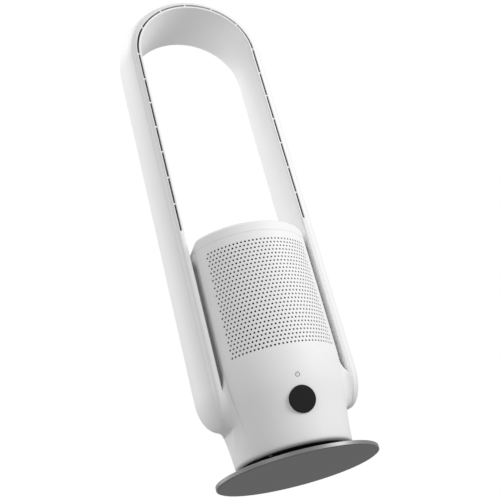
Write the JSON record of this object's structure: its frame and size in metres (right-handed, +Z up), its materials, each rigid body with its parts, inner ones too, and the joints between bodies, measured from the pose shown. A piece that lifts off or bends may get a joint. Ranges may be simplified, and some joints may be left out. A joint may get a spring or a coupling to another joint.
{
  "type": "bladeless fan",
  "caption": "Standing bladeless fan: a perforated body with a hidden blower turns on a round floor plate and feeds an inverted U air loop with slots in its front edge.",
  "frame": {"origin": "centre of the floor plate's underside", "axes": "+Z up along the swing axis, -Y towards the front where the dial and the air slots face, +X towards the right as seen from the front"},
  "size_m": [0.2764, 0.267, 0.9336],
  "materials": {
    "white_shell": "satin moulded",
    "white_inner": "moulded",
    "dust_mesh": "woven mesh",
    "plate_paint": "satin paint",
    "pad_rubber": "matt",
    "black_plastic": "fine texture",
    "dial_black": "satin",
    "gear_plastic": "moulded",
    "mount_rubber": "matt",
    "board": "laminate with solder mask",
    "motor_metal": "plated",
    "cast_column": "cast",
    "steel": "zinc plated"
  },
  "bodies": {
    "base": {"base_pad": "pad_rubber", "base_plate": "plate_paint", "base_collar": "black_plastic", "pivot_column": "cast_column", "pivot_gear": "gear_plastic", "pivot_retainer": "steel", "lower_race": "steel", "pivot_screw_1": "steel", "pivot_screw_2": "steel", "pivot_screw_3": "steel", "pivot_screw_4": "steel"},
    "bearing": {"ball_cage": "steel"},
    "swing_body": {"upper_race": "steel", "bottom_cover": "black_plastic", "pivot_bushing": "gear_plastic", "floor_screw_1": "steel", "floor_screw_2": "steel", "floor_screw_3": "steel", "floor_screw_4": "steel", "swing_bracket": "steel", "swing_motor": "motor_metal", "front_cover": "white_shell", "rear_cover": "white_shell", "front_dust_screen": "dust_mesh", "rear_dust_screen": "dust_mesh", "right_side_panel": "white_shell", "left_side_panel": "white_shell", "upper_ring": "white_inner", "top_cap": "white_shell", "cap_screw_1": "steel", "cap_screw_2": "steel", "cap_screw_3": "steel", "cap_screw_4": "steel", "loop_outer_shell": "white_shell", "loop_inner_band": "white_shell", "left_arm_screw_1": "steel", "left_arm_screw_2": "steel", "right_arm_screw_1": "steel", "right_arm_screw_2": "steel", "motor_plate": "steel", "rubber_mount_1": "mount_rubber", "rubber_mount_2": "mount_rubber", "rubber_mount_3": "mount_rubber", "fan_motor": "motor_metal", "air_distributor": "white_inner", "inlet_bellmouth": "white_inner", "dial_encoder": "motor_metal", "control_board": "board", "touch_key": "white_shell", "main_board": "board", "power_inlet": "black_plastic"},
    "pinion": {"swing_pinion": "gear_plastic"},
    "rotor": {"motor_shaft": "steel", "impeller": "gear_plastic", "impeller_nut": "steel"},
    "dial": {"control_dial": "dial_black"}
  },
  "joints": [
    {"name": "body_swing", "type": "hinge", "parent": "base", "child": "swing_body", "pos_m": [0, 0, 0.02], "axis": [0, 0, 1], "range_deg": [-40, 40]},
    {"name": "bearing_roll", "type": "hinge", "parent": "base", "child": "bearing", "pos_m": [0, 0, 0.0136], "axis": [0, 0, 1], "range_deg": [-22, 22]},
    {"name": "pinion_spin", "type": "hinge", "parent": "swing_body", "child": "pinion", "pos_m": [0.045, 0, 0.034], "axis": [0, 0, 1], "range_deg": [-165, 165]},
    {"name": "impeller_spin", "type": "hinge", "parent": "swing_body", "child": "rotor", "pos_m": [0, 0, 0.125], "axis": [0, 0, 1], "continuous": true},
    {"name": "dial_turn", "type": "hinge", "parent": "swing_body", "child": "dial", "pos_m": [0, -0.1072, 0.0866], "axis": [0, -0.9816, -0.1908], "continuous": true}
  ],
  "couplings": [
    {"joint": "bearing_roll", "follows": "body_swing", "ratio": 0.5},
    {"joint": "pinion_spin", "follows": "body_swing", "ratio": 4}
  ]
}
